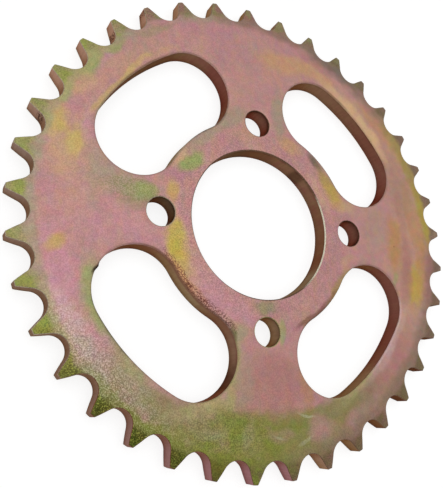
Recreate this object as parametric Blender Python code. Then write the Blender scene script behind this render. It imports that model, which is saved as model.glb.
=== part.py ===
# Rear chain sprocket of a motorcycle: one flat steel plate, cut through.
# Metres, +Z up. The plate lies on its hub side at z = 0 with its outer side up.
# Z is the bore axis, and +Y runs through the middle of a bolt hole.

import math

import bmesh
import bpy
from mathutils import Matrix, Vector

MM = 0.001

# Chain that runs on the teeth
CHAIN_PITCH = 12.7 * MM
ROLLER_DIAMETER = 8.51 * MM

# Teeth
TEETH = 37
SEAT_CLEARANCE = 0.04 * MM  # seat radius over roller radius
SEAT_ANGLE = math.radians(129)  # arc of the seat, from flank to flank
FLANK_RADIUS = 60 * MM  # convex, tangent to the seat
TIP_ABOVE_PITCH = 2.05 * MM  # tip circle over pitch circle, as radii
TOOTH_PHASE = math.radians(0.62)  # first tooth, anticlockwise from +Y

# Plate
PLATE_THICKNESS = 6.0 * MM
RELIEF_INSET = 0.3 * MM  # the tooth sides start to slope this far inside the root circle
OUTER_RELIEF = 1.0 * MM  # slope's depth at the tip, on the outer side
HUB_SIDE_RELIEF = 0.45 * MM  # the same on the hub side
EDGE_BREAK = 0.2 * MM  # chamfer round the bore, the bolt holes and the windows

# Hub and spokes
BORE_DIAMETER = 48.3 * MM
BOLT_CIRCLE_DIAMETER = 68.0 * MM
BOLT_HOLE_DIAMETER = 8.8 * MM
SPOKES = 4  # each has a bolt hole, and a window lies between each two

# Windows
HUB_RING_WIDTH = 9.95 * MM  # bore to window
RIM_RING_WIDTH = 10.7 * MM  # window to tooth root, half way between two spokes
WINDOW_RIM_RADIUS = 63.0 * MM  # arc along the rim, a little flatter than the rim itself
WINDOW_END_ANGLE = math.radians(29.75)  # from the spoke's middle to the centre of a round end

# Facets
STEPS_PER_TOOTH = 6
SEAT_STEPS = 10
FLANK_STEPS = 3
BORE_STEPS = 96
BOLT_HOLE_STEPS = 32
WINDOW_ARC_STEPS = 14
OVERCUT = 1.0 * MM  # cutters stand out of the plate by this much
SMOOTH_BELOW = math.radians(25)

PASSIVATED_ZINC = (0.50, 0.27, 0.24, 1.0)
PASSIVATED_ROUGHNESS = 0.42

# Radii that follow from the sizes above
PITCH_RADIUS = CHAIN_PITCH / 2 / math.sin(math.pi / TEETH)
ROOT_RADIUS = PITCH_RADIUS - ROLLER_DIAMETER / 2
TIP_RADIUS = PITCH_RADIUS + TIP_ABOVE_PITCH
SEAT_RADIUS = ROLLER_DIAMETER / 2 + SEAT_CLEARANCE
BORE_RADIUS = BORE_DIAMETER / 2


def clear_scene():
    for old in list(bpy.data.objects):
        bpy.data.objects.remove(old)


def arc(centre, radius, start, stop, steps):
    """Points of an arc, with both its ends."""
    angles = [start + (stop - start) * i / steps for i in range(steps + 1)]
    return [centre + radius * Vector((math.cos(a), math.sin(a))) for a in angles]


def circle(radius, steps, start=0.0):
    return arc(Vector((0, 0)), radius, start, start + math.tau, steps)[:-1]


def turned(points, angle):
    """The points turned anticlockwise about the bore axis."""
    turn = Matrix.Rotation(angle, 2)
    return [turn @ p for p in points]


def skinned(name, levels):
    """A closed solid through outlines at rising heights, given as (outline, height)."""
    bm = bmesh.new()
    loops = []
    for outline, height in levels:
        verts = [bm.verts.new((p.x, p.y, height)) for p in outline]
        loops.append([bm.edges.new(pair) for pair in zip(verts, verts[1:] + verts[:1])])
    for lower, upper in zip(loops, loops[1:]):
        bmesh.ops.bridge_loops(bm, edges=lower + upper)
    bmesh.ops.edgeloop_fill(bm, edges=loops[0])
    bmesh.ops.edgeloop_fill(bm, edges=loops[-1])
    bmesh.ops.recalc_face_normals(bm, faces=bm.faces)
    mesh = bpy.data.meshes.new(name)
    bm.to_mesh(mesh)
    bm.free()
    made = bpy.data.objects.new(name, mesh)
    bpy.context.scene.collection.objects.link(made)
    return made


def blank():
    """The round disc, with the slopes that thin every tooth towards its tip."""
    steps = TEETH * STEPS_PER_TOOTH
    half_step = math.pi / steps
    first = math.pi / 2 + TOOTH_PHASE + half_step
    flat = circle(ROOT_RADIUS - RELIEF_INSET, steps, first)
    tip = circle(TIP_RADIUS, steps, first)
    return skinned(
        "sprocket_plate",
        [
            (flat, 0.0),
            (tip, HUB_SIDE_RELIEF),
            (tip, PLATE_THICKNESS - OUTER_RELIEF),
            (flat, PLATE_THICKNESS),
        ],
    )


def half_gap():
    """Half a tooth gap, from its bottom to the point where two flanks would meet. The gap lies along +X."""
    seat_centre = Vector((ROOT_RADIUS + SEAT_RADIUS, 0))
    seat_end = math.pi - SEAT_ANGLE / 2
    seat = arc(seat_centre, SEAT_RADIUS, math.pi, seat_end, SEAT_STEPS // 2)

    # The flank's centre lies on the far side of the seat's end, so the two arcs are tangent there.
    towards_tooth = Vector((math.cos(seat_end), math.sin(seat_end)))
    flank_centre = seat_centre + (SEAT_RADIUS + FLANK_RADIUS) * towards_tooth

    # Where the flank's circle crosses the middle line of the tooth
    middle = Vector((math.cos(math.pi / TEETH), math.sin(math.pi / TEETH)))
    along = flank_centre.dot(middle)
    across = (flank_centre - along * middle).length
    point = (along + math.sqrt(FLANK_RADIUS**2 - across**2)) * middle

    start = seat_end - math.pi
    stop = math.atan2(*(point - flank_centre).yx)
    return seat + arc(flank_centre, FLANK_RADIUS, start, stop, FLANK_STEPS)[1:]


def tooth_form():
    """The ring of teeth seen along the axis, with pointed tips that the disc's rim cuts off."""
    upper = half_gap()
    lower = [Vector((p.x, -p.y)) for p in upper]
    gap = lower[:0:-1] + upper[:-1]
    outline = []
    for tooth in range(TEETH):
        gap_angle = math.pi / 2 + TOOTH_PHASE + math.tau * (tooth + 0.5) / TEETH
        outline += turned(gap, gap_angle)
    return skinned("tooth_form", [(outline, -OVERCUT), (outline, PLATE_THICKNESS + OVERCUT)])


def window(grow):
    """A curved window about +X, between hub and rim, its outline moved out by grow."""
    inner = BORE_RADIUS + HUB_RING_WIDTH
    rim_arc_back = WINDOW_RIM_RADIUS - (ROOT_RADIUS - RIM_RING_WIDTH)
    end_angle = math.pi / SPOKES - WINDOW_END_ANGLE

    # The end's radius makes it touch both arcs: the hub's from outside, the rim's from inside.
    back = rim_arc_back * math.cos(end_angle)
    room = WINDOW_RIM_RADIUS**2 - inner**2 - rim_arc_back**2 - 2 * back * inner
    end_radius = room / (2 * (inner + back + WINDOW_RIM_RADIUS))
    end_centre = (inner + end_radius) * Vector((math.cos(end_angle), math.sin(end_angle)))

    rim_centre = Vector((-rim_arc_back, 0))
    rim_angle = math.atan2(*(end_centre - rim_centre).yx)
    grown_end = end_radius + grow
    hub_side = arc(Vector((0, 0)), inner - grow, -end_angle, end_angle, WINDOW_ARC_STEPS)
    upper_end = arc(end_centre, grown_end, end_angle + math.pi, rim_angle, WINDOW_ARC_STEPS)
    rim_side = arc(rim_centre, WINDOW_RIM_RADIUS + grow, rim_angle, -rim_angle, WINDOW_ARC_STEPS)
    lower_end = [Vector((p.x, -p.y)) for p in reversed(upper_end)]
    return hub_side + upper_end[1:] + rim_side[1:] + lower_end[1:-1]


def through_cut(name, outline_at, spot=Vector((0, 0)), angle=0.0):
    """A cutter right through the plate that also breaks both edges. outline_at gives the outline for a growth."""
    wall = turned([p + spot for p in outline_at(0.0)], angle)
    flare = turned([p + spot for p in outline_at(EDGE_BREAK + OVERCUT)], angle)
    return skinned(
        name,
        [
            (flare, -OVERCUT),
            (wall, EDGE_BREAK),
            (wall, PLATE_THICKNESS - EDGE_BREAK),
            (flare, PLATE_THICKNESS + OVERCUT),
        ],
    )


def bore_outline(grow):
    return circle(BORE_RADIUS + grow, BORE_STEPS)


def bolt_hole_outline(grow):
    return circle(BOLT_HOLE_DIAMETER / 2 + grow, BOLT_HOLE_STEPS)


def openings():
    """The bore, and a bolt hole and a window for each spoke."""
    cuts = [through_cut("bore", bore_outline)]
    bolt_spot = Vector((BOLT_CIRCLE_DIAMETER / 2, 0))
    for spoke in range(SPOKES):
        spoke_angle = math.pi / 2 + math.tau * spoke / SPOKES
        window_angle = spoke_angle + math.pi / SPOKES
        cuts.append(through_cut(f"bolt_hole_{spoke}", bolt_hole_outline, bolt_spot, spoke_angle))
        cuts.append(through_cut(f"window_{spoke}", window, angle=window_angle))
    return cuts


def cut_plate(plate, operation, cutter):
    cutter.hide_render = True
    cutter.display_type = "WIRE"
    cut = plate.modifiers.new(cutter.name, "BOOLEAN")
    cut.operation = operation
    cut.object = cutter
    cut.solver = "EXACT"


def apply_cuts(plate):
    """Keeps the cut shape as the plate's own mesh, and takes its cutters away."""
    cutters = [cut.object for cut in plate.modifiers]
    graph = bpy.context.evaluated_depsgraph_get()
    cut_mesh = bpy.data.meshes.new_from_object(plate.evaluated_get(graph))
    plate.modifiers.clear()
    plate.data = cut_mesh
    cut_mesh.name = plate.name
    for cutter in cutters:
        bpy.data.objects.remove(cutter)


def passivated_zinc():
    """Zinc plate under a yellow passivation, which has gone rose and green."""
    material = bpy.data.materials.new("passivated_zinc")
    material.use_nodes = True
    shader = material.node_tree.nodes["Principled BSDF"]
    shader.inputs["Base Color"].default_value = PASSIVATED_ZINC
    shader.inputs["Metallic"].default_value = 1.0
    shader.inputs["Roughness"].default_value = PASSIVATED_ROUGHNESS
    return material


def main():
    clear_scene()
    plate = blank()
    cut_plate(plate, "INTERSECT", tooth_form())
    for cutter in openings():
        cut_plate(plate, "DIFFERENCE", cutter)
    apply_cuts(plate)
    plate.data.shade_smooth()
    plate.data.set_sharp_from_angle(angle=SMOOTH_BELOW)
    plate.data.materials.append(passivated_zinc())


main()
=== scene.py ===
import math

import bmesh
import bpy
from mathutils import Matrix, Vector, geometry


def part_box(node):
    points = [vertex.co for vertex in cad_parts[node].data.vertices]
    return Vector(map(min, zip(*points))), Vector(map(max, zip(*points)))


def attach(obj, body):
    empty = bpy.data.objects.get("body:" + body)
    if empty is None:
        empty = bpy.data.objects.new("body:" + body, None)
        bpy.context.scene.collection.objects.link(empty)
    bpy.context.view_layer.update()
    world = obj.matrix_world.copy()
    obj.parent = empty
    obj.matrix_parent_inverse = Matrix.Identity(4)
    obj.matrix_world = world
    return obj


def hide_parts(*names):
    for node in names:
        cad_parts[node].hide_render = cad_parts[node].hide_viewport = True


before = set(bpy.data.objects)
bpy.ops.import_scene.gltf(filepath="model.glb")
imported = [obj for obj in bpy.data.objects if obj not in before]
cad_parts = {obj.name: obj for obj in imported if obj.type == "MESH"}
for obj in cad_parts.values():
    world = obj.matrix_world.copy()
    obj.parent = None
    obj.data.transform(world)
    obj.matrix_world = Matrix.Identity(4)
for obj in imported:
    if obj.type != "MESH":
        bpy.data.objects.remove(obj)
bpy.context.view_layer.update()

mm = 0.001
deep = 1000  # mm, so that a spot of tint runs straight through the plate
zAxis = (0, 0, 1)
plateLow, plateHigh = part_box("sprocket_plate")
thickness = (plateHigh.z - plateLow.z) / mm
print("frame loaded, plate", round(thickness, 3), "mm thick")


# shared helpers

def linear(hexCode):
    parts = [int(hexCode[i:i + 2], 16) / 255 for i in (1, 3, 5)]
    return [p / 12.92 if p <= 0.04045 else ((p + 0.055) / 1.055) ** 2.4 for p in parts] + [1.0]


def addNode(tree, kind, inputs, output=None, **settings):  # a Mix takes 0 as factor, 6 and 7 as colours
    node = tree.nodes.new("ShaderNode" + kind)
    for name, value in settings.items():
        setattr(node, name, value)
    for socket, value in inputs.items():
        if isinstance(value, bpy.types.NodeSocket):
            tree.links.new(value, node.inputs[socket])
        else:
            node.inputs[socket].default_value = value
    if output is not None:
        return node.outputs[output]
    return next((o for o in node.outputs if o.enabled), None)


def newMaterial(name):
    material = bpy.data.materials.new(name)
    material.use_nodes = True
    material.node_tree.nodes.clear()
    return material, material.node_tree


def newObject(name, bm, *materials):
    mesh = bpy.data.meshes.new(name)
    bm.to_mesh(mesh)
    bm.free()
    for material in materials:
        mesh.materials.append(material)
    made = bpy.data.objects.new(name, mesh)
    bpy.context.scene.collection.objects.link(made)
    return made


# the plate's sizes in mm and degrees, as in the solid

plate = {
    "teeth": 37, "pitch": 12.7, "roller": 8.51, "seatPlay": 0.04, "seatArc": 129, "flank": 60,
    "tipAbove": 2.05, "phase": 0.62, "tipCorner": 0.28,
    "reliefInset": 0.3, "outerRelief": 1.0, "hubRelief": 0.45, "creaseBand": 0.5,
    "bore": 48.3, "boltCircle": 68.0, "boltHole": 8.8, "spokes": 4,
    "hubRing": 9.95, "rimRing": 10.7, "windowRim": 63.0, "windowEnd": 29.75,
    "cuffWidth": 2.0,  # ring kept round each opening, over which the edge's tint fades
    "seatSteps": 14, "flankSteps": 7, "cornerSteps": 4, "tipSteps": 3,
    "hubArcSteps": 20, "endSteps": 56, "rimArcSteps": 44, "boreSteps": 256, "boltSteps": 72,
    "mirrorWeld": 1e-4, "ringWeld": 1e-3,  # points closer than this become one
    "roundAbove": 60, "smoothBelow": 40,  # angle between two faces: rounded off, shaded as one
    "flatAbove": 0.5,  # a normal that rises more than this belongs to a face, and the others to a wall
}
edgeRound = {  # mm taken off each edge and the facets across it: outer side, hub side
    "teeth": (0.16, 0.14, 3), "bore": (0.35, 0.2, 1), "bolt": (0.25, 0.2, 2), "window": (0.45, 0.2, 4),
}
cutNub = {"window": 1, "spot": (-52.2, -17.6, 0), "height": 0.5, "halfWidth": 0.8}  # where a cut closed
edgeTint = {  # an attribute that marks the openings' edges, and its value at each, which sets how strongly the face's painted edge shade shows
    "name": "nearEdge", "bore": 0.35, "bolt": 0.8, "window": 1.0,
}
finishSlots = {"face": 0, "wall": 1, "lip": 2}
radii = {}
radii["pitch"] = plate["pitch"] / 2 / math.sin(math.pi / plate["teeth"])
radii["root"] = radii["pitch"] - plate["roller"] / 2
radii["tip"] = radii["pitch"] + plate["tipAbove"]
radii["seat"] = plate["roller"] / 2 + plate["seatPlay"]
radii["slope"] = radii["root"] - plate["reliefInset"]
radii["window"] = plate["bore"] / 2 + plate["hubRing"]


def sweep(bm, vert, centre, angle, steps):  # carries a vertex round a centre and leaves the arc behind it
    made = bmesh.ops.spin(bm, geom=[vert], cent=centre, axis=zAxis, angle=angle, steps=steps)
    return made["geom_last"][0]


def newEdges(bm, before):
    return [e for e in bm.edges if e not in before]


def toothRim(bm):
    before = set(bm.edges)
    seat = Vector((radii["root"] + radii["seat"], 0, 0))
    seatTurn = math.radians(plate["seatArc"] / 2)
    fromSeat = Vector((-math.cos(seatTurn), math.sin(seatTurn), 0))
    flank = seat + (radii["seat"] + plate["flank"]) * fromSeat
    corner = plate["tipCorner"]
    spots = geometry.intersect_sphere_sphere_2d(
        flank.xy, plate["flank"] - corner, Vector((0, 0)), radii["tip"] - corner)
    tipRound = min(spots, key=lambda p: p.y).to_3d()  # centre of the tip's rounded corner
    flankStop = math.atan2(*(tipRound - flank).yx)
    tipStart = math.atan2(*tipRound.yx)
    toothMiddle = math.pi / plate["teeth"]

    vert = bm.verts.new((radii["root"], 0, 0))
    vert = sweep(bm, vert, seat, -seatTurn, plate["seatSteps"])
    vert = sweep(bm, vert, flank, flankStop + seatTurn, plate["flankSteps"])
    vert = sweep(bm, vert, tipRound, tipStart - flankStop, plate["cornerSteps"])
    sweep(bm, vert, (0, 0, 0), toothMiddle - tipStart, plate["tipSteps"])
    bmesh.ops.mirror(bm, geom=bm.verts[:] + bm.edges[:], merge_dist=plate["mirrorWeld"], axis="Y")

    first = math.pi / 2 + math.radians(plate["phase"]) + toothMiddle
    bmesh.ops.rotate(bm, verts=bm.verts[:], cent=(0, 0, 0), matrix=Matrix.Rotation(first, 3, "Z"))
    others = plate["teeth"] - 1
    bmesh.ops.spin(bm, geom=bm.verts[:] + bm.edges[:], cent=(0, 0, 0), axis=zAxis,
                   angle=math.tau * others / plate["teeth"], steps=others, use_duplicate=True)
    bmesh.ops.remove_doubles(bm, verts=bm.verts[:], dist=plate["ringWeld"])
    return newEdges(bm, before)


def windowRim(bm, grow, turn):
    before, oldVerts = set(bm.edges), set(bm.verts)
    inner = radii["window"]
    back = plate["windowRim"] - (radii["root"] - plate["rimRing"])
    end = math.pi / plate["spokes"] - math.radians(plate["windowEnd"])
    lean = back * math.cos(end)
    room = plate["windowRim"] ** 2 - inner ** 2 - back ** 2 - 2 * lean * inner
    endRadius = room / (2 * (inner + lean + plate["windowRim"]))  # touches both arcs
    endSpot = (inner + endRadius) * Vector((math.cos(end), math.sin(end), 0))
    rimSpot = Vector((-back, 0, 0))
    rimTurn = math.atan2(*(endSpot - rimSpot).yx)

    vert = bm.verts.new((inner - grow, 0, 0))
    vert = sweep(bm, vert, (0, 0, 0), end, plate["hubArcSteps"])
    if grow:
        vert.co = endSpot - (endRadius + grow) * endSpot.normalized()
    vert = sweep(bm, vert, endSpot, rimTurn - end - math.pi, plate["endSteps"])
    sweep(bm, vert, rimSpot, -rimTurn, plate["rimArcSteps"])
    made = [v for v in bm.verts if v not in oldVerts]
    half = made + newEdges(bm, before)
    bmesh.ops.mirror(bm, geom=half, merge_dist=plate["mirrorWeld"], axis="Y")
    made = [v for v in bm.verts if v not in oldVerts]
    bmesh.ops.rotate(bm, verts=made, cent=(0, 0, 0), matrix=Matrix.Rotation(turn, 3, "Z"))
    return newEdges(bm, before), made


def circleRim(bm, radius, steps, spot=Vector((0, 0, 0))):
    before = set(bm.edges)
    bmesh.ops.create_circle(bm, segments=steps, radius=radius, matrix=Matrix.Translation(spot))
    return newEdges(bm, before)


def plateSheet(bm):
    nearEdge = bm.verts.layers.float.new(edgeTint["name"])
    shelf = toothRim(bm)
    for reach in (radii["slope"], radii["slope"] - plate["creaseBand"]):
        step = bmesh.ops.extrude_edge_only(bm, edges=shelf)["geom"]
        verts = {g for g in step if isinstance(g, bmesh.types.BMVert)}
        for vert in verts:
            vert.co *= reach / vert.co.length
        shelf = [g for g in step if isinstance(g, bmesh.types.BMEdge) and verts.issuperset(g.verts)]

    cuff = plate["cuffWidth"]
    borders = list(shelf)
    boreRadius, boltRadius = plate["bore"] / 2, plate["boltHole"] / 2
    pairs = [["bore"] + [circleRim(bm, boreRadius + grow, plate["boreSteps"]) for grow in (0, cuff)]]
    for spoke in range(plate["spokes"]):
        spokeTurn = math.pi / 2 + math.tau * spoke / plate["spokes"]
        windowTurn = spokeTurn + math.pi / plate["spokes"]
        spot = plate["boltCircle"] / 2 * Vector((math.cos(spokeTurn), math.sin(spokeTurn), 0))
        rims = [circleRim(bm, boltRadius + grow, plate["boltSteps"], spot) for grow in (0, cuff)]
        pairs.append(["bolt"] + rims)
        inner, verts = windowRim(bm, 0, windowTurn)
        outer, _ = windowRim(bm, cuff, windowTurn)
        if spoke == cutNub["window"]:
            nub = Vector(cutNub["spot"])
            middle = radii["window"] * Vector((math.cos(windowTurn), math.sin(windowTurn), 0))
            for vert in verts:
                swell = math.exp(-((vert.co - nub).length / cutNub["halfWidth"]) ** 2)
                vert.co += cutNub["height"] * swell * (middle - nub).normalized()
        pairs.append(["window", inner, outer])
    for opening, inner, outer in pairs:
        for edge in inner:
            for vert in edge.verts:
                vert[nearEdge] = edgeTint[opening]
        bmesh.ops.bridge_loops(bm, edges=inner + outer)
        borders += outer
    bmesh.ops.triangle_fill(bm, edges=borders, use_beauty=True, normal=zAxis)


def openingOf(edge):  # which opening or rim an edge of the plate belongs to
    middle = (edge.verts[0].co + edge.verts[1].co) / 2
    across = middle.xy.length
    if across > radii["slope"]:
        return "teeth"
    if across < plate["bore"] / 2 + plate["cuffWidth"] / 2:
        return "bore"
    sides = ((1, 0), (0, 1), (-1, 0), (0, -1))
    toBolt = min((middle.xy - plate["boltCircle"] / 2 * Vector(side)).length for side in sides)
    return "bolt" if toBolt < (plate["boltHole"] + plate["cuffWidth"]) / 2 else "window"


def roundEdges(bm):
    for opening, (outer, hub, facets) in edgeRound.items():
        for width, isOuter in ((outer, True), (hub, False)):
            bm.normal_update()
            rims = []
            for edge in bm.edges:
                isHigh = edge.verts[0].co.z + edge.verts[1].co.z > thickness
                isSharp = edge.calc_face_angle(0) > math.radians(plate["roundAbove"])
                if isHigh == isOuter and isSharp and openingOf(edge) == opening:
                    rims.append(edge)
            made = bmesh.ops.bevel(bm, geom=rims, offset=width, segments=facets, profile=0.5,
                                   affect="EDGES", material=-1)
            rolledIn = opening == "window" and isOuter  # the punch drew the face's film down over these edges
            for face in made["faces"]:
                face.material_index = finishSlots["face" if rolledIn else "lip"]
            print("rounded", opening, "outer side" if isOuter else "hub side", len(rims), "edges")


def buildPlate(faceFinish, wallFinish, edgeFinish):
    bm = bmesh.new()
    plateSheet(bm)
    print("plate sheet", len(bm.faces), "faces")
    raised = bmesh.ops.extrude_face_region(bm, geom=bm.faces[:])["geom"]
    top = {g for g in raised if isinstance(g, bmesh.types.BMVert)}
    for vert in bm.verts:  # thickness, and the slopes that thin each tooth
        past = max(0, vert.co.xy.length - radii["slope"]) / (radii["tip"] - radii["slope"])
        vert.co.z = thickness - plate["outerRelief"] * past if vert in top else plate["hubRelief"] * past
    bmesh.ops.recalc_face_normals(bm, faces=bm.faces[:])
    bm.normal_update()
    for face in bm.faces:
        face.material_index = finishSlots["face" if abs(face.normal.z) > plate["flatAbove"] else "wall"]
    roundEdges(bm)
    bmesh.ops.recalc_face_normals(bm, faces=bm.faces[:])
    bmesh.ops.scale(bm, verts=bm.verts[:], vec=(mm, mm, mm))
    bmesh.ops.translate(bm, verts=bm.verts[:], vec=(0, 0, plateLow.z))
    made = newObject("passivated_sprocket", bm, faceFinish, wallFinish, edgeFinish)
    made.data.shade_smooth()
    made.data.set_sharp_from_angle(angle=math.radians(plate["smoothBelow"]))
    return made


# the passivation's tints: rose on the flats, going gold and green where the film dried thicker

tintColours = {
    "rose": "#bf9189", "mauve": "#b8888a", "pink": "#c28e97", "violet": "#b3808f", "salmon": "#bf977b",
    "brick": "#ac7a72", "tan": "#c5a47b", "amber": "#b98a58", "gold": "#c5a758", "lime": "#beb144",
    "brass": "#ac9848", "green": "#97a066", "sage": "#948f68", "greige": "#a3967e", "olive": "#8a8355",
    "leaf": "#7f863a", "straw": "#c4ad66", "mustard": "#c0a24e", "apricot": "#c49a72",
    "bronze": "#a08a54", "cream": "#d4b088", "moth": "#a8a06e", "paleRose": "#cdb0ac",
    "glintBlush": "#d9ccd0", "chalk": "#d2cab4", "dusk": "#8c7262", "deepGreen": "#454e19",
    "slopeLime": "#91984f", "slopeFawn": "#9d9266", "slopeYellow": "#85863a", "slopeSage": "#898358",
    "slopeRose": "#926e61", "slopeBrown": "#7a6150", "slopeOlive": "#746646", "slopeMoss": "#655f2b",
    "flankMauve": "#957f74", "flankRose": "#b08c7a", "flankPink": "#a0767a", "flankTan": "#9c8065",
    "flankGrey": "#998a76", "umber": "#80634c", "maroon": "#7d5549", "oxblood": "#74433c",
    # the near-black brown is also the colour of painted shade next to the walls' outer edges and in three
    # tooth gaps
    "moss": "#968064", "drab": "#6e6654", "russet": "#6e4632", "blackBrown": "#2a1c14", "lipBrown": "#6b5241",
    "lipGrey": "#9d917b",
}


def tint(name):
    return linear(tintColours[name])


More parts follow.
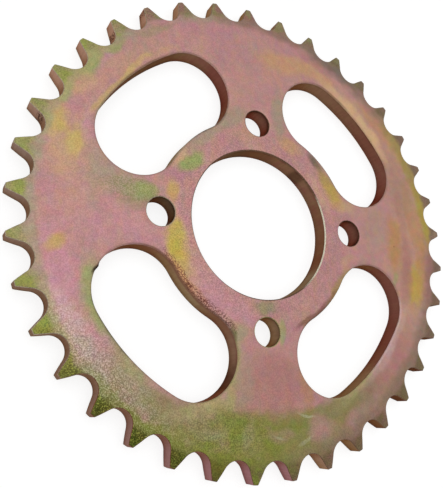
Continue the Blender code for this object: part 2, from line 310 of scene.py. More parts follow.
# where a tint lies: tint, middle x and y, half length and half width (mm), lean (degrees), strength
faceTints = [
    # upper left of the rim
    ("salmon", -44.5, 46, 12, 2.2, 47, 0.4), ("pink", -53, 44.5, 6, 1.4, 50, 0.4),
    ("greige", -44, 55, 6, 2, 42, 0.45), ("green", -55.4, 42.4, 4, 1.9, 75, 0.95),
    ("green", -48.2, 51, 3, 1.5, 55, 0.85), ("sage", -63.2, 36.5, 3.5, 1.3, 75, 0.6),
    ("tan", -57.4, 35, 3.4, 1.8, 65, 0.6), ("green", -62.4, 31.6, 2.6, 1.3, 65, 0.7),
    ("violet", -59.6, 29.2, 3, 1.6, 60, 0.5), ("straw", -47.2, 37.9, 11, 0.8, 52, 0.6),
    ("tan", -35.4, 50.4, 6, 0.8, 36, 0.4),
    # left of the rim
    ("straw", -64.6, 22.6, 3.4, 2.2, 70, 0.85), ("straw", -59.3, 17.8, 3.6, 2, 75, 0.85),
    ("straw", -62, 20.2, 2.4, 1.3, -45, 0.5), ("tan", -63, 13, 4.5, 3, 90, 0.5),
    ("pink", -56, 22.5, 4, 1.2, 85, 0.6), ("pink", -64, -20, 10, 4.4, 100, 0.8),
    ("gold", -63.2, -11.8, 2.4, 1.4, 30, 0.7), ("paleRose", -57.8, -35, 10, 2.2, -60, 0.55),
    # left spoke
    ("greige", -51, 11.5, 5, 2, -45, 0.5), ("greige", -46, 6.8, 8, 3, -8, 0.5),
    ("green", -42.4, 5.8, 3.4, 1.5, 0, 0.4), ("green", -38.6, 5.6, 3, 1.8, 0, 0.7),
    ("sage", -41.4, 1.8, 4.4, 1.7, 0, 0.5), ("greige", -54, 4, 6, 1.2, 90, 0.4),
    ("pink", -47, -5, 9, 4.4, 0, 0.4),
    # lower left of the rim
    ("green", -53.8, -23.5, 6, 2.2, 92, 0.8), ("green", -50.8, -31.6, 6, 2.1, -63, 0.8),
    ("sage", -46.6, -38.6, 6, 1.3, -55, 0.7), ("pink", -49.8, -40, 6, 2, -52, 0.6),
    ("greige", -51, -43.6, 9, 2, -52, 0.5), ("sage", -42, -48, 8, 2.8, -46, 0.75),
    ("moth", -42.4, -45, 4, 1.4, -48, 0.5), ("olive", -44, -55.5, 11, 2.8, -48, 0.55),
    ("greige", -37.6, -53.6, 7, 2, -40, 0.45), ("olive", -29, -58.4, 10, 4.2, -25, 0.7),
    ("leaf", -24, -64.5, 12, 2.4, -18, 0.6), ("moth", -19.5, -55.2, 8, 1.6, 8, 0.75),
    ("moth", -12.6, -48.6, 6, 1.5, 78, 0.8), ("moth", -11, -39, 7, 1.6, 84, 0.6),
    # bottom
    ("leaf", -13.4, -60.4, 8, 3.6, 0, 0.7), ("leaf", -1, -66, 16, 4.2, 0, 0.8),
    ("leaf", 0, -66.4, 4.4, 2.4, 60, 0.7), ("leaf", 7, -59.6, 17, 2.4, 0, 0.8),
    ("olive", 22, -65, 9, 2.6, 18, 0.65), ("olive", 23, -56.8, 8, 2.2, 15, 0.85),
    ("olive", 33, -54, 7, 2.2, 33, 0.6), ("moth", 32.6, -51, 7, 1.1, 33, 0.5),
    ("sage", 35, -58, 4, 1.8, 38, 0.45), ("greige", -19.6, -62.4, 3.4, 1.4, 0, 0.35),
    ("greige", -8, -63.4, 2.6, 1.2, 70, 0.35), ("mauve", 2.6, -63.7, 3, 1.6, 0, 0.3),
    ("mauve", 16.9, -62.2, 3, 3, 90, 0.6), ("mauve", 30, -60.6, 2.4, 2.2, 60, 0.5),
    ("dusk", 40, -50, 6, 2.6, 45, 0.45),
    # bottom spoke
    ("brick", 1, -49, 9, 6.5, 0, 0.65), ("greige", -8.4, -47.4, 5, 2.2, 88, 0.5),
    ("amber", 12.6, -51, 4, 1.6, 100, 0.5), ("green", 5.2, -33.4, 2.6, 0.8, 90, 0.7),
    ("greige", -9.2, -34, 4, 1.3, 70, 0.55),
    # right of the rim, from below upwards; the pale rose along the lower right window's edge is a painted
    # highlight
    ("sage", 45.5, -51.5, 5, 2, 42, 0.65), ("sage", 53.5, -44.5, 4, 1.8, 52, 0.55),
    ("brick", 49, -41.5, 9, 3.4, 52, 0.65), ("paleRose", 51.6, -31.5, 10, 1.3, 60, 0.35),
    ("paleRose", 44, -41.5, 7, 1.3, 48, 0.3), ("greige", 62, -31, 7, 2.4, 65, 0.4),
    ("salmon", 58, -10, 18, 6, 82, 0.5), ("mustard", 62.2, -16, 6.2, 2.8, 74, 0.85),
    ("amber", 66, -8, 7, 1.8, 84, 0.5), ("brick", 58.2, -11, 8, 1.9, 82, 0.7),
    ("green", 52.6, -14.2, 2.2, 0.9, 65, 0.55), ("amber", 54, -1.6, 6.4, 2.6, 88, 0.75),
    ("amber", 63, 10, 9, 1.6, 97, 0.65), ("brick", 58.6, 8, 9, 1.3, 96, 0.45),
    ("amber", 66.6, 4, 6, 1.6, 93, 0.6), ("brass", 69.2, 11, 8, 1.6, 99, 0.9),
    ("salmon", 60, 20, 14, 6, 107, 0.5), ("dusk", 58, 21, 10, 4, 105, 0.25),
    ("brass", 64.6, 28, 9, 2.2, 113, 0.75),
    # upper right of the rim; the cream band along the window's edge is a painted highlight
    ("brass", 58.6, 37, 8, 2.2, 122, 0.5), ("salmon", 48, 44, 14, 5, 133, 0.5),
    ("amber", 50.4, 44.4, 7, 2, 130, 0.5), ("cream", 34.4, 50.8, 9, 1.6, 142, 0.7),
    ("cream", 44, 42.6, 9, 1.7, 130, 0.8), ("cream", 51, 34.6, 5, 1.4, 116, 0.5),
    ("apricot", 25, 57.4, 6, 2, 165, 0.6), ("apricot", 13.5, 58.8, 9, 3, 6, 0.75),
    ("brick", 25.4, 62.4, 7, 1.5, 156, 0.55), ("mauve", 38.6, 56.2, 11, 1.6, 143, 0.5),
    # top
    ("mauve", -14, 65.5, 14, 2.4, 12, 0.5), ("violet", -26, 65.6, 3, 1.5, 20, 0.45),
    ("sage", -36, 59, 6, 1.3, 32, 0.5), ("mauve", 12, 66, 10, 2.4, -10, 0.4),
    ("rose", 0, 46, 6, 4, 0, 0.6),
    # top spoke, and clockwise round the hub from there
    ("greige", -9.6, 34, 4, 2, 40, 0.75), ("greige", 8.2, 39, 6, 1.7, 91, 0.7),
    ("salmon", -5, 29, 4, 1.5, 5, 0.5), ("apricot", 12, 28.2, 3.6, 1.8, -25, 0.7),
    ("mauve", 17, 23, 3, 2, -50, 0.5), ("drab", 22.4, 23.6, 2.8, 1.1, -45, 0.8),
    ("brass", 27, 16.4, 5, 1.6, -58, 0.7), ("gold", 29, 12, 3.6, 2, -60, 0.5),
    ("cream", 22.6, 13, 5, 1.3, -62, 0.35), ("tan", 33, 9.2, 2.8, 1.4, 10, 0.65),
    ("greige", 46, 3, 6, 4, 90, 0.3), ("tan", 32.5, -9.4, 2.4, 1, 30, 0.4),
    ("bronze", 27.4, -18.8, 5, 0.9, 55, 0.7), ("russet", 16.2, -28.9, 5, 0.8, 29, 0.6),
    ("russet", 22, -25, 6, 0.7, 41, 0.5), ("sage", 0, -26.8, 3.8, 1.4, 3, 0.7),
    ("tan", -25.5, -17.5, 4.4, 2, -60, 0.45), ("pink", -19, -21.4, 5, 3, -45, 0.6),
    ("pink", -10, -28, 6, 2, -20, 0.7), ("gold", -28.4, -13.4, 4, 2, 105, 0.6),
    ("lime", -29.2, -8, 4.2, 2.3, 96, 0.7), ("gold", -30, 6.8, 2.6, 1.4, 85, 0.65),
    ("violet", -28, 12.8, 3, 1.8, 55, 0.45), ("green", -24.2, 16.6, 3.6, 1.8, 38, 0.95),
    ("greige", -19.6, 25.8, 6.6, 1.5, 42, 0.65), ("cream", -27.8, 17.8, 2.6, 1, 60, 0.5),
    ("amber", -28, -18.8, 5, 1, -57, 0.5), ("amber", -23.4, -23.4, 5, 1, -45, 0.4),
    ("deepGreen", -11.8, -35.6, 3, 0.7, 100, 0.6),
    # rubs
    ("chalk", 12.4, -58.2, 2.4, 0.3, -17, 0.3), ("chalk", 11.4, -65.8, 2.2, 0.4, 28, 0.22),
    ("chalk", 2.6, -64.4, 1.6, 0.3, -20, 0.2), ("blackBrown", 53.6, -3.2, 0.3, 0.25, 0, 0.4),
    ("blackBrown", -52.6, -17.9, 1.2, 0.5, 62, 1),
]
faceSpecks = [  # the same, but broken up into grains
    ("oxblood", -28.6, -17.6, 5, 1.1, -58, 0.7), ("oxblood", -23.8, -23.6, 6, 1.1, -45, 0.7),
    ("oxblood", -18, -28.4, 5, 1.1, -33, 0.7), ("blackBrown", -13.2, -32, 2.6, 0.8, -55, 0.5),
    ("leaf", -43, 6.2, 6, 2.2, -6, 0.35),
]
wallSpecks = [  # painted shade in three tooth gaps, broken up into grains
    ("blackBrown", -69.2, 24, 1, 0.7, 0, 0.9), ("blackBrown", -48.4, 54.6, 0.8, 0.6, 0, 0.8),
    ("blackBrown", -38.4, 65, 0.8, 0.6, 0, 0.7),
]
rolledTints = [  # film drawn a little way down a wall
    ("maroon", -24, -25, 17, 3, -49, 0.6),
]
wallTints = [
    # bore
    ("flankGrey", 15.5, -18.5, 6, 3, 40, 0.7), ("drab", -8.3, 22.7, 4, 2, 20, 0.7),
    ("lipBrown", 1, 24, 5, 2, 0, 0.5), ("blackBrown", 15.5, 18.5, 1.6, 1, -50, 0.5),
    ("russet", 23.5, -3, 13, 3, 88, 0.4),
    # windows
    ("oxblood", 51.5, 22, 14, 5, 110, 0.8), ("russet", 41, 41, 14, 4, 133, 0.4),
    ("umber", 24, 52, 8, 4, 160, 0.6), ("oxblood", 50, -22, 12, 6, 70, 0.75),
    ("oxblood", 47, -36, 8, 4, 58, 0.5), ("moss", 30, -51, 9, 4, 30, 0.5),
    ("oxblood", -13, 44, 8, 5, 100, 0.8), ("drab", -38, 46, 12, 3, 48, 0.5),
    ("greige", -25, 23.5, 12, 3, 46, 0.8), ("moss", -26, -23, 11, 3, -46, 0.8),
    ("flankGrey", -20, -28, 7, 3, -40, 0.35), ("maroon", -15.5, -31, 5, 3, -50, 0.5),
    ("dusk", -11.5, -42, 6, 3, 85, 0.6), ("blackBrown", -12, -49, 6, 3, 115, 0.5),
    ("blackBrown", -52.4, -17.8, 1.3, 0.8, 62, 0.5),
    # bolt holes
    ("oxblood", 0, 34, 5, 5, 0, 0.6), ("oxblood", 34, 0, 5, 5, 0, 0.7), ("moss", 0, -34, 5, 5, 0, 0.6),
    ("drab", -34, 0, 5, 5, 0, 0.6), ("blackBrown", -34, 0, 5, 5, 0, 0.4),
]
# tints on the openings' rounded edges: the film's own colours, darkened as painted shade, and pale as painted
# highlights on the right windows' outer rims
lipTints = [
    # upper right window, whose cream is a painted highlight
    ("cream", 46, 40, 10, 2, 130, 0.5), ("umber", 29, 54, 8, 2, 148, 0.7),
    ("drab", 24, 23.4, 11, 2, -46, 0.9), ("sage", 10.4, 38, 8, 1.8, 90, 0.5),
    # upper left window
    ("umber", -42, 43, 10, 2, 48, 0.8), ("sage", -52, 33, 8, 2, 60, 0.6),
    ("drab", -19.4, 27.6, 7, 2, 36, 0.85), ("greige", -26.6, 21.4, 5, 2, 50, 0.5),
    # lower left window
    ("russet", -24, -25, 15, 2.4, -49, 0.6), ("russet", -34, -12.6, 6, 2, -25, 0.5),
    ("blackBrown", -15.5, -31, 5, 2, -50, 0.25), ("drab", -50.5, -34, 17, 2, -57, 0.85),
    ("moth", -20, -55.6, 8, 2, 5, 0.8), ("moth", -13, -49, 9, 2, 75, 0.6),
    ("blackBrown", -52.4, -17.8, 1.3, 0.8, 62, 1),
    # lower right window, whose pale rose is a painted highlight
    ("paleRose", 48, -34, 13, 2, 58, 0.8), ("moth", 31, -51.5, 9, 2, 30, 0.7),
    ("lipBrown", 20, -27, 10, 2, 36, 0.9), ("bronze", 29, -16.6, 7, 1.8, 58, 0.8),
    # bolt holes
    ("greige", -34, 0, 6, 6, 0, 0.7), ("moth", 0, -34, 6, 6, 0, 0.7),
]

# tints that change round the bore axis: degrees from +X, tint
# along the crease: the film's tints, darkened as painted shade
creaseRing = [
    (-180, "greige"), (-165, "greige"), (-154, "moth"), (-141, "sage"), (-128, "leaf"), (-95, "leaf"),
    (-84, "olive"), (-70, "dusk"), (-25, "dusk"), (-16, "slopeRose"), (-5, "slopeRose"), (3, "brass"),
    (12, "brass"), (20, "bronze"), (36, "bronze"), (43, "dusk"), (50, "dusk"), (55, "drab"),
    (68, "drab"), (75, "dusk"), (95, "dusk"), (106, "greige"), (118, "mauve"), (130, "greige"),
    (141, "moth"), (152, "moth"), (168, "greige"), (180, "greige"),
]
slopeRing = [
    (-180, "slopeFawn"), (-165, "slopeFawn"), (-152, "slopeYellow"), (-143, "slopeMoss"),
    (-133, "deepGreen"), (-113, "deepGreen"), (-103, "slopeMoss"), (-94, "slopeOlive"),
    (-80, "slopeBrown"), (45, "slopeBrown"), (62, "slopeOlive"), (80, "slopeRose"), (119, "slopeRose"),
    (133, "slopeFawn"), (150, "slopeFawn"), (180, "slopeFawn"),
]
slopeFleckRing = [
    (-180, "slopeLime"), (-150, "slopeLime"), (-138, "slopeMoss"), (-110, "slopeMoss"), (-95, "leaf"),
    (-80, "slopeOlive"), (-20, "slopeOlive"), (0, "dusk"), (45, "slopeOlive"), (70, "slopeSage"),
    (119, "slopeSage"), (133, "slopeLime"), (180, "slopeLime"),
]
# the tooth flanks' tints round the ring, partly painted light: lighter or darker by the way each flank faces
flankRing = [
    (-180, "flankMauve"), (-140, "flankMauve"), (-100, "flankPink"), (-84, "flankPink"),
    (-74, "flankTan"), (-60, "umber"), (-45, "lipBrown"), (40, "lipBrown"), (95, "flankTan"),
    (120, "flankRose"), (150, "flankRose"), (170, "flankMauve"), (180, "flankMauve"),
]
# the teeth's rounded edges: the grey on the left is a painted highlight
toothLipRing = [
    (-180, "lipGrey"), (-150, "lipGrey"), (-138, "russet"), (-110, "russet"), (-95, "lipBrown"),
    (90, "lipBrown"), (130, "lipGrey"), (180, "lipGrey"),
]
# a painted highlight along the bore's right edge
boreLipRing = [
    (-180, "lipBrown"), (-55, "lipBrown"), (-40, "chalk"), (18, "chalk"), (30, "lipBrown"),
    (180, "lipBrown"),
]
patina = {  # the film that all three finishes share; sizes in mm
    "bend": 3.5, "bendSize": 7.0,  # how far the tints wander, and over what distance
    "mottleSize": 3.2, "patchSize": 4.0,
    "gritSize": 0.34,  # grit of the pickled sheet: about 0.1 in truth, drawn coarser so that it shows
    "fade": 2.1,  # a tint reaches this many times its half size before it is gone
    "cover": {"From Min": 0.05, "From Max": 0.7},  # from a tint's rim to its full strength
    "soft": {"From Min": 0.2, "From Max": 0.8, "To Min": -0.25, "To Max": 0.25},
    "gritFray": 0.16, "softBite": 1.5,  # how deep grit and patches eat into an outline
    "speckle": {"From Min": 0.54, "From Max": 0.42, "To Max": 1.5},  # only the low side of the grit
    "teethFrom": 3, "teethFull": 2,  # the teeth's own tints begin this far inside the root circle
}


def ringTint(tree, spot, stops):
    turn = addNode(tree, "TexGradient", {"Vector": spot}, output="Fac", gradient_type="RADIAL")
    shade = addNode(tree, "ValToRGB", {"Fac": turn}, output="Color")
    ramp = shade.node.color_ramp.elements
    while len(ramp) < len(stops):
        ramp.new(0.5)
    for element, (angle, name) in zip(ramp, stops):
        element.position = angle / 360 + 0.5  # the gradient begins at -X
        element.color = tint(name)
    return shade


def spotAt(tree, where, x, y, length, width, lean):  # 1 at the middle of a leaning oval, 0 at its rim
    local = addNode(tree, "Mapping", {"Vector": where, "Location": (x, y, 0), "Scale": (length, width, deep),
                                      "Rotation": (0, 0, math.radians(lean))}, vector_type="TEXTURE")
    return addNode(tree, "TexGradient", {"Vector": local}, output="Fac", gradient_type="SPHERICAL")


def layTints(tree, colour, tints, where, bite):  # bite is the noise that breaks up their outlines
    for name, x, y, length, width, lean, strength in tints:
        blob = spotAt(tree, where, x, y, length * patina["fade"], width * patina["fade"], lean)
        eaten = addNode(tree, "Math", {0: blob, 1: bite}, operation="MULTIPLY")
        cover = addNode(tree, "MapRange", {"Value": eaten, **patina["cover"], "To Max": strength},
                        interpolation_type="SMOOTHSTEP")
        colour = addNode(tree, "Mix", {0: cover, 6: colour, 7: tint(name)}, data_type="RGBA")
    return colour


def readFilm(tree):  # where a point lies, and the noises that the finishes share
    where = addNode(tree, "TexCoord", {}, output="Object")
    inMm = addNode(tree, "VectorMath", {0: where, "Scale": 1 / mm}, operation="SCALE")
    drift = addNode(tree, "TexNoise", {"Vector": inMm, "Scale": 1 / patina["bendSize"], "Detail": 3},
                    output="Color")
    push = addNode(tree, "VectorMath", {0: drift, 1: (0.5, 0.5, 0.5)}, operation="SUBTRACT")
    far = addNode(tree, "VectorMath", {0: push, "Scale": patina["bend"]}, operation="SCALE")
    bent = addNode(tree, "VectorMath", {0: inMm, 1: far}, operation="ADD")  # gives no tint a clean outline
    level = addNode(tree, "Mapping", {"Vector": inMm, "Scale": (1, 1, 0)})
    across = addNode(tree, "VectorMath", {0: level}, output="Value", operation="LENGTH")
    onTeeth = addNode(tree, "MapRange", {"Value": across, "From Min": radii["root"] - patina["teethFrom"],
                                         "From Max": radii["root"] - patina["teethFull"]})
    mottle = addNode(tree, "TexNoise", {"Vector": inMm, "Scale": 1 / patina["mottleSize"], "Detail": 4,
                                        "Roughness": 0.6}, output="Fac")
    grit = addNode(tree, "TexNoise", {"Vector": inMm, "Scale": 1 / patina["gritSize"], "Detail": 1,
                                      "Roughness": 0.6}, output="Fac")
    patch = addNode(tree, "TexNoise", {"Vector": inMm, "Scale": 1 / patina["patchSize"], "Detail": 2,
                                       "Roughness": 0.5}, output="Fac")
    soft = addNode(tree, "MapRange", {"Value": patch, **patina["soft"]})
    fray = patina["gritFray"]
    ragged = addNode(tree, "Math", {0: grit, 1: fray, 2: -fray / 2}, operation="MULTIPLY_ADD")
    ragged = addNode(tree, "Math", {0: ragged, 1: soft}, operation="ADD")
    bite = addNode(tree, "Math", {0: soft, 1: patina["softBite"], 2: 1.0}, operation="MULTIPLY_ADD")
    speckle = addNode(tree, "MapRange", {"Value": grit, **patina["speckle"]})
    return {"inMm": inMm, "bent": bent, "across": across, "onTeeth": onTeeth, "mottle": mottle, "grit": grit,
            "patch": patch, "ragged": ragged, "bite": bite, "speckle": speckle}


rolledLook = {  # sizes and reaches in mm
    "cloudSize": 9.0, "cloud": {"From Min": 0.35, "From Max": 0.65},
    "streakWidth": 3.2, "streakLength": 40.0, "streakBreak": 0.4,  # patches break the streaks up
    "warm": {"From Min": 0.5, "From Max": 0.62, "To Max": 0.5},
    "cool": {"From Min": 0.46, "From Max": 0.36, "To Max": 0.3},
    "edgeFray": 0.4, "edgeShadeShare": 0.5, "edge": {"From Min": 0.6, "From Max": 0.95, "To Max": 0.85},
    # the tooth sides' tints: how far they are nibbled, and where they lie from the slope circle
    "rimFray": 5.0,
    "creaseSides": {"From Min": -20, "From Max": 35}, "creaseLeft": -2.0, "creaseRight": -4.2,
    "creaseFull": 0.2, "creaseCover": 0.8,
    "slopeFrom": 0.4, "slopeFull": 3.0, "slopeCover": 0.95,
    "slopePatch": {"From Min": 0.42, "From Max": 0.6, "To Max": 0.9},
    # where the sheet is roughest, and where it is grainy but not pale: x, y, length, width, lean
    "roughSpot": (-52, -45, 42, 10, -46), "lowSpot": (-15, -62.5, 22, 10, -8),
    "sparkle": {"From Min": 0.52, "From Max": 0.64}, "paleGrit": 0.22, "roughFull": 0.45,
    "hueSize": 2.6, "hueDrift": 0.15,
    "stain": {"From Min": 0.3, "From Max": 0.7},
    "stainSides": {"From Min": -30, "From Max": 20, "To Max": 0.06},
    # how strong the grain is, from left to right and in the places that have more of it
    "grainSides": {"From Min": -30, "From Max": 45, "To Min": 0.16, "To Max": 0.06},
    "grainBelow": {"From Min": -45, "From Max": -65, "To Max": 0.08},
    "grainHub": {"From Min": 36, "From Max": 28, "To Max": 0.13},
    "grainRough": {"From Max": 0.95, "To Max": 0.26}, "grainLow": {"From Max": 0.8, "To Max": 0.2},
    "grainSlope": 0.12,
    "speck": {"From Min": 0.34, "From Max": 0.66}, "fleckSize": 0.5, "fleckShare": 0.12,
    "roughness": {"From Min": 0.3, "From Max": 0.7, "To Min": 0.38, "To Max": 0.5},
    "bump": 0.6, "bumpDepth": 0.05,
}


# zinc on rolled steel under yellow passivate: satin, rose, bloomed gold and green, faintly streaked
def rolledFace():
    material, tree = newMaterial("yellow_passivated_zinc_rolled")
    film = readFilm(tree)
    look = rolledLook
    cloud = addNode(tree, "TexNoise", {"Vector": film["bent"], "Scale": 1 / look["cloudSize"], "Detail": 4},
                    output="Fac")
    level = addNode(tree, "MapRange", {"Value": cloud, **look["cloud"]})
    colour = addNode(tree, "Mix", {0: level, 6: tint("rose"), 7: tint("mauve")}, data_type="RGBA")
    along = (1 / look["streakWidth"], 1 / look["streakLength"], 1)
    rolled = addNode(tree, "Mapping", {"Vector": film["inMm"], "Scale": along})
    streak = addNode(tree, "TexNoise", {"Vector": rolled, "Scale": 1.0, "Detail": 3, "Roughness": 0.6},
                     output="Fac")
    streak = addNode(tree, "Mix", {0: look["streakBreak"], 2: streak, 3: film["patch"]})
    warm = addNode(tree, "MapRange", {"Value": streak, **look["warm"]})
    colour = addNode(tree, "Mix", {0: warm, 6: colour, 7: tint("salmon")}, data_type="RGBA")
    cool = addNode(tree, "MapRange", {"Value": streak, **look["cool"]})
    colour = addNode(tree, "Mix", {0: cool, 6: colour, 7: tint("greige")}, data_type="RGBA")
    colour = layTints(tree, colour, faceTints, film["bent"], film["bite"])
    colour = layTints(tree, colour, faceSpecks, film["bent"], film["speckle"])

    # a darker outline round each opening: painted shade, with the edge tints' pale spots as painted
    # highlights
    nearEdge = addNode(tree, "Attribute", {}, output="Fac", attribute_name=edgeTint["name"])
    outline = addNode(tree, "Math", {0: film["ragged"], 1: look["edgeFray"], 2: nearEdge},
                      operation="MULTIPLY_ADD")
    outline = addNode(tree, "MapRange", {"Value": outline, **look["edge"]}, interpolation_type="SMOOTHSTEP")
    edge = addNode(tree, "Mix", {0: look["edgeShadeShare"], 6: colour, 7: tint("dusk")}, data_type="RGBA")
    edge = layTints(tree, edge, lipTints, film["bent"], film["bite"])
    colour = addNode(tree, "Mix", {0: outline, 6: colour, 7: edge}, data_type="RGBA")

    # the tooth sides start at the slope circle, where the film changes, and the band along the crease is
    # darkened as painted shade
    nibbled = addNode(tree, "Math", {0: film["ragged"], 1: look["rimFray"], 2: film["across"]},
                      operation="MULTIPLY_ADD")
    sideways = addNode(tree, "SeparateXYZ", {0: film["inMm"]}, output="X")
    upwards = sideways.node.outputs["Y"]
    creaseStart = addNode(tree, "MapRange", {"Value": sideways, **look["creaseSides"],
                                             "To Min": radii["slope"] + look["creaseLeft"],
                                             "To Max": radii["slope"] + look["creaseRight"]})
    onCrease = addNode(tree, "MapRange", {"Value": nibbled, "From Min": creaseStart,
                                          "From Max": radii["slope"] + look["creaseFull"],
                                          "To Max": look["creaseCover"]}, interpolation_type="SMOOTHSTEP")
    crease = ringTint(tree, film["bent"], creaseRing)
    colour = addNode(tree, "Mix", {0: onCrease, 6: colour, 7: crease}, data_type="RGBA")
    onSlope = addNode(tree, "MapRange", {"Value": nibbled, "From Min": radii["slope"] + look["slopeFrom"],
                                         "From Max": radii["slope"] + look["slopeFull"],
                                         "To Max": look["slopeCover"]}, interpolation_type="SMOOTHSTEP")
    slope = ringTint(tree, film["bent"], slopeRing)
    slopeFleck = ringTint(tree, film["bent"], slopeFleckRing)
    patchy = addNode(tree, "MapRange", {"Value": film["patch"], **look["slopePatch"]})
    slope = addNode(tree, "Mix", {0: patchy, 6: slope, 7: slopeFleck}, data_type="RGBA")

    # where the sheet is rough, the high grit is pale on the flat, as painted glints, and yellow flecks on the
    # slope
    sparkle = addNode(tree, "MapRange", {"Value": film["grit"], **look["sparkle"]})
    rough = spotAt(tree, film["inMm"], *look["roughSpot"])
    pale = addNode(tree, "Math", {0: sparkle, 1: rough}, operation="MULTIPLY")
    pale = addNode(tree, "Math", {0: pale, 1: look["paleGrit"]}, operation="MULTIPLY")
    colour = addNode(tree, "Mix", {0: pale, 6: colour, 7: tint("glintBlush")}, data_type="RGBA")
    sparkle = addNode(tree, "MapRange", {"Value": rough, "From Max": look["roughFull"], "To Max": sparkle})
    slope = addNode(tree, "Mix", {0: sparkle, 6: slope, 7: tint("slopeYellow")}, data_type="RGBA")
    colour = addNode(tree, "Mix", {0: onSlope, 6: colour, 7: slope}, data_type="RGBA")

    # the film's hue wanders everywhere by a little, and its left is stained
    hue = addNode(tree, "TexNoise", {"Vector": film["bent"], "Scale": 1 / look["hueSize"], "Detail": 1,
                                     "Roughness": 0.6}, output="Color")
    colour = addNode(tree, "Mix", {0: look["hueDrift"], 6: colour, 7: hue}, data_type="RGBA",
                     blend_type="OVERLAY")
    uneven = addNode(tree, "MapRange", {"Value": sideways, **look["stainSides"]})
    stain = addNode(tree, "MapRange", {"Value": film["mottle"], **look["stain"]})
    colour = addNode(tree, "Mix", {0: uneven, 6: colour, 7: stain}, data_type="RGBA", blend_type="OVERLAY")

    # grain
    amount = addNode(tree, "MapRange", {"Value": sideways, **look["grainSides"]})
    below = addNode(tree, "MapRange", {"Value": upwards, **look["grainBelow"]})
    hub = addNode(tree, "MapRange", {"Value": film["across"], **look["grainHub"]})
    rougher = addNode(tree, "MapRange", {"Value": rough, **look["grainRough"]},
                      interpolation_type="SMOOTHSTEP")
    low = spotAt(tree, film["inMm"], *look["lowSpot"])
    low = addNode(tree, "MapRange", {"Value": low, **look["grainLow"]}, interpolation_type="SMOOTHSTEP")
    for more in (below, hub, rougher, low):
        amount = addNode(tree, "Math", {0: amount, 1: more}, operation="ADD")
    amount = addNode(tree, "Math", {0: onSlope, 1: look["grainSlope"], 2: amount}, operation="MULTIPLY_ADD")
    flecks = addNode(tree, "TexNoise", {"Vector": film["inMm"], "Scale": 1 / look["fleckSize"], "Detail": 2,
                                        "Roughness": 0.7}, output="Color")
    speck = addNode(tree, "MapRange", {"Value": film["grit"], **look["speck"]})
    speck = addNode(tree, "Mix", {0: look["fleckShare"], 6: speck, 7: flecks}, data_type="RGBA")
    colour = addNode(tree, "Mix", {0: amount, 6: colour, 7: speck}, data_type="RGBA", blend_type="OVERLAY")
    roughness = addNode(tree, "MapRange", {"Value": film["mottle"], **look["roughness"]})
    bump = addNode(tree, "Bump", {"Height": film["grit"], "Strength": look["bump"],
                                  "Distance": look["bumpDepth"] * mm})
    shader = addNode(tree, "BsdfPrincipled", {"Base Color": colour, "Metallic": 1.0, "Roughness": roughness,
                                              "Normal": bump})
    addNode(tree, "OutputMaterial", {"Surface": shader})
    return material


shearedLook = {  # heights over the hub side and sizes, in mm
    "level": {"From Min": 0.35, "From Max": 0.65},
    "rootFrom": 2.6, "rootFull": 0.4, "rootCover": 0.35,  # shade in the tooth gaps, over the root circle
    "fray": 2.5,  # how far the borders of these bands are nibbled
    # darker towards the hub side
    "torn": {"From Min": 0.4, "From Max": 2.4, "To Min": 0.3, "To Max": 0},
    # painted shade next to the outer edge
    "under": {"From Min": 4.9, "From Max": 5.8, "To Max": 0.35},
    "over": {"From Min": 4.2, "From Max": 5.4, "To Max": 1.5},
    "scoreWidth": 0.6, "scoreStretch": 0.06,  # the punch's lines run straight down
    "score": {"From Min": 0.25, "From Max": 0.75}, "scoreShade": 0.08,
    "roughness": 0.5, "bump": 0.3, "bumpDepth": 0.08,
}


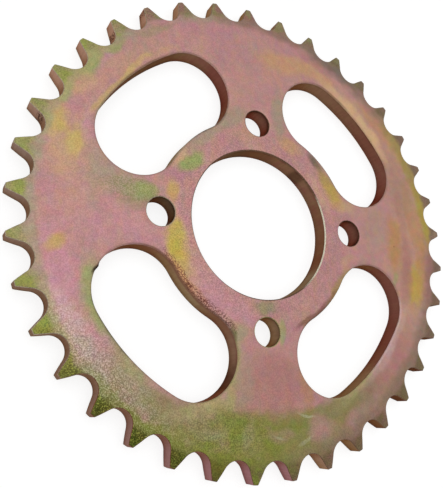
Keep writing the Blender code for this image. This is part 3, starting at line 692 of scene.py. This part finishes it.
# the same zinc on a sheared wall: dull and brown, scored by the punch, darkest next to the outer edge, where
# shade is painted
def shearedWall():
    material, tree = newMaterial("yellow_passivated_zinc_sheared")
    film = readFilm(tree)
    look = shearedLook
    level = addNode(tree, "MapRange", {"Value": film["mottle"], **look["level"]})
    colour = addNode(tree, "Mix", {0: level, 6: tint("umber"), 7: tint("maroon")}, data_type="RGBA")
    colour = layTints(tree, colour, wallTints, film["bent"], film["bite"])
    atRoot = addNode(tree, "MapRange", {"Value": film["across"], "From Min": radii["root"] + look["rootFrom"],
                                        "From Max": radii["root"] + look["rootFull"],
                                        "To Max": look["rootCover"]})
    # the flanks' tints, partly painted light by the way each flank faces
    flank = ringTint(tree, film["bent"], flankRing)
    flank = addNode(tree, "Mix", {0: atRoot, 6: flank, 7: tint("umber")}, data_type="RGBA")
    colour = addNode(tree, "Mix", {0: film["onTeeth"], 6: colour, 7: flank}, data_type="RGBA")

    # darker towards the hub side, a painted shade next to the outer edge, and the face's film drawn a little
    # way down
    height = addNode(tree, "SeparateXYZ", {0: film["inMm"]}, output="Z")
    frayed = addNode(tree, "Math", {0: film["ragged"], 1: look["fray"], 2: height}, operation="MULTIPLY_ADD")
    torn = addNode(tree, "MapRange", {"Value": frayed, **look["torn"]})
    colour = addNode(tree, "Mix", {0: torn, 6: colour, 7: tint("blackBrown")}, data_type="RGBA")
    # painted shade next to the outer edge
    under = addNode(tree, "MapRange", {"Value": frayed, **look["under"]})
    under = addNode(tree, "Math", {0: under, 1: film["onTeeth"]}, operation="SUBTRACT", use_clamp=True)
    colour = addNode(tree, "Mix", {0: under, 6: colour, 7: tint("blackBrown")}, data_type="RGBA")
    over = addNode(tree, "MapRange", {"Value": frayed, **look["over"]})
    colour = layTints(tree, colour, rolledTints, film["bent"], over)
    # painted shade in three tooth gaps
    colour = layTints(tree, colour, wallSpecks, film["bent"], film["speckle"])

    drawn = addNode(tree, "Mapping", {"Vector": film["inMm"], "Scale": (1, 1, look["scoreStretch"])})
    score = addNode(tree, "TexNoise", {"Vector": drawn, "Scale": 1 / look["scoreWidth"], "Detail": 2,
                                       "Roughness": 0.6}, output="Fac")
    speck = addNode(tree, "MapRange", {"Value": score, **look["score"]})
    colour = addNode(tree, "Mix", {0: look["scoreShade"], 6: colour, 7: speck}, data_type="RGBA",
                     blend_type="OVERLAY")
    bump = addNode(tree, "Bump", {"Height": score, "Strength": look["bump"],
                                  "Distance": look["bumpDepth"] * mm})
    shader = addNode(tree, "BsdfPrincipled", {"Base Color": colour, "Metallic": 1.0, "Normal": bump,
                                              "Roughness": look["roughness"],
                                              "Specular Tint": tint("flankTan")})
    addNode(tree, "OutputMaterial", {"Surface": shader})
    return material


rubbedLook = {
    "boreFrom": 2, "boreFull": 1,  # mm past the bore's wall
    "speck": {"From Min": 0.25, "From Max": 0.75}, "grain": 0.45,
    "roughness": {"From Min": 0.3, "From Max": 0.7, "To Min": 0.35, "To Max": 0.45},
}


# the same zinc on edges that rubbed in the barrel: thin and brown, the brown partly a painted dark
# reflection, and a painted highlight as a bright line on the bore's right
def rubbedLip():
    material, tree = newMaterial("yellow_passivated_zinc_edge_wear_shade_and_shine")
    film = readFilm(tree)
    look = rubbedLook
    colour = layTints(tree, tint("lipBrown"), lipTints, film["bent"], film["bite"])
    # the teeth's edges, grey on the left as a painted highlight
    toothLip = ringTint(tree, film["bent"], toothLipRing)
    colour = addNode(tree, "Mix", {0: film["onTeeth"], 6: colour, 7: toothLip}, data_type="RGBA")
    boreWall = plate["bore"] / 2
    onBore = addNode(tree, "MapRange", {"Value": film["across"], "From Min": boreWall + look["boreFrom"],
                                        "From Max": boreWall + look["boreFull"]})
    # the bore's edge, with a painted highlight on its right
    boreLip = ringTint(tree, film["bent"], boreLipRing)
    colour = addNode(tree, "Mix", {0: onBore, 6: colour, 7: boreLip}, data_type="RGBA")
    speck = addNode(tree, "MapRange", {"Value": film["grit"], **look["speck"]})
    colour = addNode(tree, "Mix", {0: look["grain"], 6: colour, 7: speck}, data_type="RGBA",
                     blend_type="OVERLAY")
    roughness = addNode(tree, "MapRange", {"Value": film["mottle"], **look["roughness"]})
    shader = addNode(tree, "BsdfPrincipled", {"Base Color": colour, "Metallic": 1.0, "Roughness": roughness})
    addNode(tree, "OutputMaterial", {"Surface": shader})
    return material


sprocket = buildPlate(rolledFace(), shearedWall(), rubbedLip())
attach(sprocket, "root")
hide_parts("sprocket_plate")
print("plate built", len(sprocket.data.polygons), "faces")


# studio, in metres: one white sweep of paper, a big soft lamp overhead, a pale sky

studio = {
    "floorRadius": 1.3, "wallHeight": 0.9, "curve": 0.5, "floorGap": 0.2 * mm,
    "curveSteps": 16, "turnSteps": 96, "weld": 1e-5,
    "paperGlow": 0.79, "paperShade": "#a4a4a4",
    # dimmer on the side where the photographer stands
    "sky": {"From Min": -0.9, "From Max": 0.0, "To Min": 0.45, "To Max": 0.86},
    "lampSize": 0.9, "lampSpot": (-0.05, 0.12, 0.75), "lampWatts": 0.65,
}


def whitePaper():  # matt photo paper: white to the eye and in metal, with a part left to lamp and shadow
    material, tree = newMaterial("white_paper_matt")
    seen = addNode(tree, "LightPath", {}, output="Is Camera Ray")
    path = seen.node
    withGloss = addNode(tree, "Math", {0: seen, 1: path.outputs["Is Glossy Ray"]}, operation="MAXIMUM")
    withGlass = addNode(tree, "Math", {0: withGloss, 1: path.outputs["Is Transmission Ray"]},
                        operation="MAXIMUM")
    glow = addNode(tree, "Math", {0: withGlass, 1: studio["paperGlow"]}, operation="MULTIPLY")
    white = addNode(tree, "Emission", {"Color": (1, 1, 1, 1), "Strength": glow})
    matt = addNode(tree, "BsdfDiffuse", {"Color": linear(studio["paperShade"])})
    both = addNode(tree, "AddShader", {0: white, 1: matt})
    addNode(tree, "OutputMaterial", {"Surface": both})
    return material


def buildSweep():
    bm = bmesh.new()
    flat, curve = studio["floorRadius"], studio["curve"]
    start = bm.verts.new((0, 0, 0))
    edge = bmesh.ops.extrude_vert_indiv(bm, verts=[start])["verts"][0]
    edge.co.x = flat
    raised = bmesh.ops.spin(bm, geom=[edge], cent=(flat, 0, curve), axis=(0, 1, 0),
                            angle=-math.pi / 2, steps=studio["curveSteps"])["geom_last"][0]
    top = bmesh.ops.extrude_vert_indiv(bm, verts=[raised])["verts"][0]
    top.co.z += studio["wallHeight"]
    bmesh.ops.spin(bm, geom=bm.verts[:] + bm.edges[:], cent=(0, 0, 0), axis=zAxis, angle=math.tau,
                   steps=studio["turnSteps"], use_merge=True)
    bmesh.ops.remove_doubles(bm, verts=bm.verts[:], dist=studio["weld"])
    bmesh.ops.recalc_face_normals(bm, faces=bm.faces[:])
    bmesh.ops.translate(bm, verts=bm.verts[:], vec=(0, 0, plateLow.z - studio["floorGap"]))
    sweepPaper = newObject("paper_sweep", bm, whitePaper())
    sweepPaper.data.shade_smooth()


def addLights():
    world = bpy.data.worlds.new("sky")
    bpy.context.scene.world = world
    world.use_nodes = True
    tree = world.node_tree
    where = addNode(tree, "TexCoord", {}, output="Generated")
    ahead = addNode(tree, "SeparateXYZ", {0: where}, output="Y")
    level = addNode(tree, "MapRange", {"Value": ahead, **studio["sky"]}, interpolation_type="SMOOTHSTEP")
    tree.nodes["Background"].inputs["Color"].default_value = (1, 1, 1, 1)
    tree.links.new(level, tree.nodes["Background"].inputs["Strength"])
    lamp = bpy.data.lights.new("softbox", "AREA")
    lamp.shape = "DISK"
    lamp.size = studio["lampSize"]
    lamp.energy = studio["lampWatts"]
    softbox = bpy.data.objects.new("softbox", lamp)
    softbox.location = studio["lampSpot"]
    softbox.rotation_euler = (-Vector(studio["lampSpot"])).to_track_quat("-Z", "Y").to_euler()
    bpy.context.scene.collection.objects.link(softbox)


# the photograph's view, from its own perspective: mm and degrees, with the frame's long side on the film

camera = {
    "spot": (-96.98, -53.76, 163.22), "aim": (-14.68, -8.05, 6.0), "roll": 1.834,
    "lens": 45.168, "film": 36.0, "nearest": 10,
}


def addCamera():
    lens = bpy.data.cameras.new("camera")
    lens.sensor_width = camera["film"]
    lens.lens = camera["lens"]
    lens.clip_start = camera["nearest"] * mm
    view = bpy.data.objects.new("camera", lens)
    ahead = (Vector(camera["aim"]) - Vector(camera["spot"])).normalized()
    right = ahead.cross(Vector((0, 1, 0))).normalized()
    upright = Matrix((right, right.cross(ahead), -ahead)).transposed()
    rolled = Matrix.Rotation(math.radians(camera["roll"]), 3, ahead) @ upright
    view.matrix_world = Matrix.Translation(Vector(camera["spot"]) * mm) @ rolled.to_4x4()
    bpy.context.scene.collection.objects.link(view)
    bpy.context.scene.camera = view


buildSweep()
addLights()
addCamera()
bpy.context.scene.view_settings.view_transform = "Standard"
print("studio ready")
